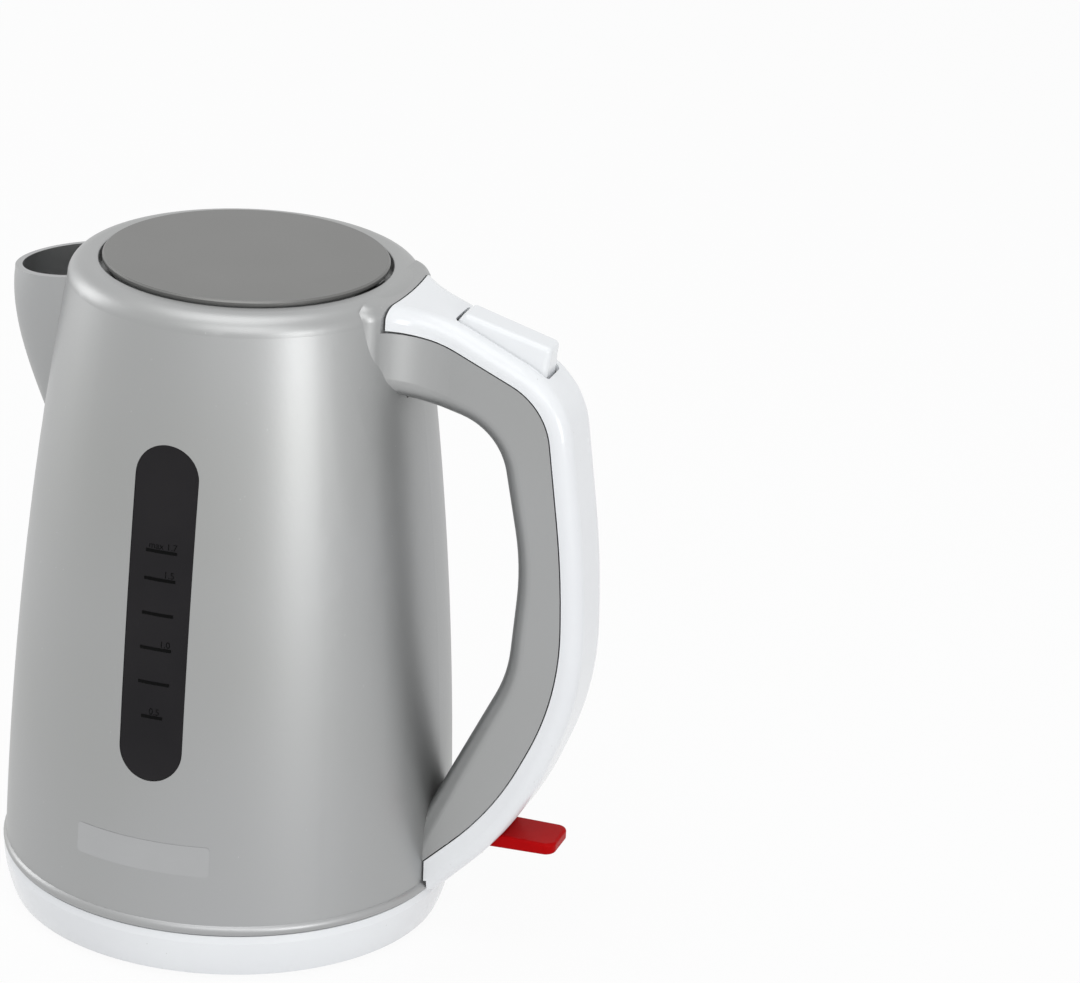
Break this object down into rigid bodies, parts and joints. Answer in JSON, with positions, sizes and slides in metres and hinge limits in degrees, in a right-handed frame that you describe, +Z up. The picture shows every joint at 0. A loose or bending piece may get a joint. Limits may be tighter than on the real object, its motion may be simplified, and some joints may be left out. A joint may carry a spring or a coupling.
{
  "type": "toy kettle",
  "caption": "Toy electric kettle: tapered silver jug with V spout, smoke level windows, white base and handle cover, press-button hinged lid and a red switch lever",
  "frame": {"origin": "centre of the flat underside of the base, on the table", "axes": "+Z up, +X from the cup's axis towards the handle, -X towards the spout, -Y towards the near level window; the Y axis is the plane of symmetry's normal"},
  "size_m": [0.1809, 0.1352, 0.2],
  "materials": {
    "silver_plastic": "silver paint on black plastic, satin gloss",
    "white_plastic": "gloss",
    "lid_grey": "satin silver grey",
    "smoke_clear": "smoke clear, gloss",
    "black_print": "pad printed ink",
    "clear_film": "clear film sticker",
    "red_plastic": "gloss",
    "black_plastic": "as moulded",
    "pin_steel": "drawn wire",
    "spring_steel": "drawn wire",
    "screw_steel": "zinc plated"
  },
  "bodies": {
    "kettle": {"body_shell": "silver_plastic", "handle_cover": "white_plastic", "window_near": "smoke_clear", "window_far": "smoke_clear", "level_marks_near": "black_print", "level_marks_far": "black_print", "clear_label": "clear_film", "base_pan": "white_plastic", "inner_floor": "black_plastic", "base_screws": "screw_steel", "hinge_pin": "pin_steel", "lever_pin": "pin_steel", "lid_spring": "spring_steel", "button_spring": "spring_steel", "latch_spring": "spring_steel"},
    "lid": {"lid_base": "silver_plastic", "lid_top_disc": "lid_grey"},
    "button": {"lid_release_button": "white_plastic"},
    "latch": {"latch_slider": "black_plastic"},
    "lever": {"switch_lever": "red_plastic"}
  },
  "joints": [
    {"name": "lid_hinge", "type": "hinge", "parent": "kettle", "child": "lid", "pos_m": [0.052, 0, 0.1875], "axis": [0, 1, 0], "range_deg": [0, 95]},
    {"name": "button_press", "type": "hinge", "parent": "kettle", "child": "button", "pos_m": [0.06684, 0, 0.18817], "axis": [0, 1, 0], "range_deg": [0, 7], "stiffness_Nm_per_rad": 0.1, "springref_deg": -3.44, "deforming": ["button_spring"]},
    {"name": "latch_slide", "type": "slide", "parent": "kettle", "child": "latch", "axis": [0.9073, 0, -0.4206], "range_m": [0, 0.0024], "deforming": ["latch_spring"]},
    {"name": "lever_switch", "type": "hinge", "parent": "kettle", "child": "lever", "pos_m": [0.07981, 0, 0.0337], "axis": [0, 1, 0], "range_deg": [0, 12]}
  ],
  "couplings": [
    {"joint": "latch_slide", "follows": "button_press", "m_per_rad": 0.019}
  ]
}
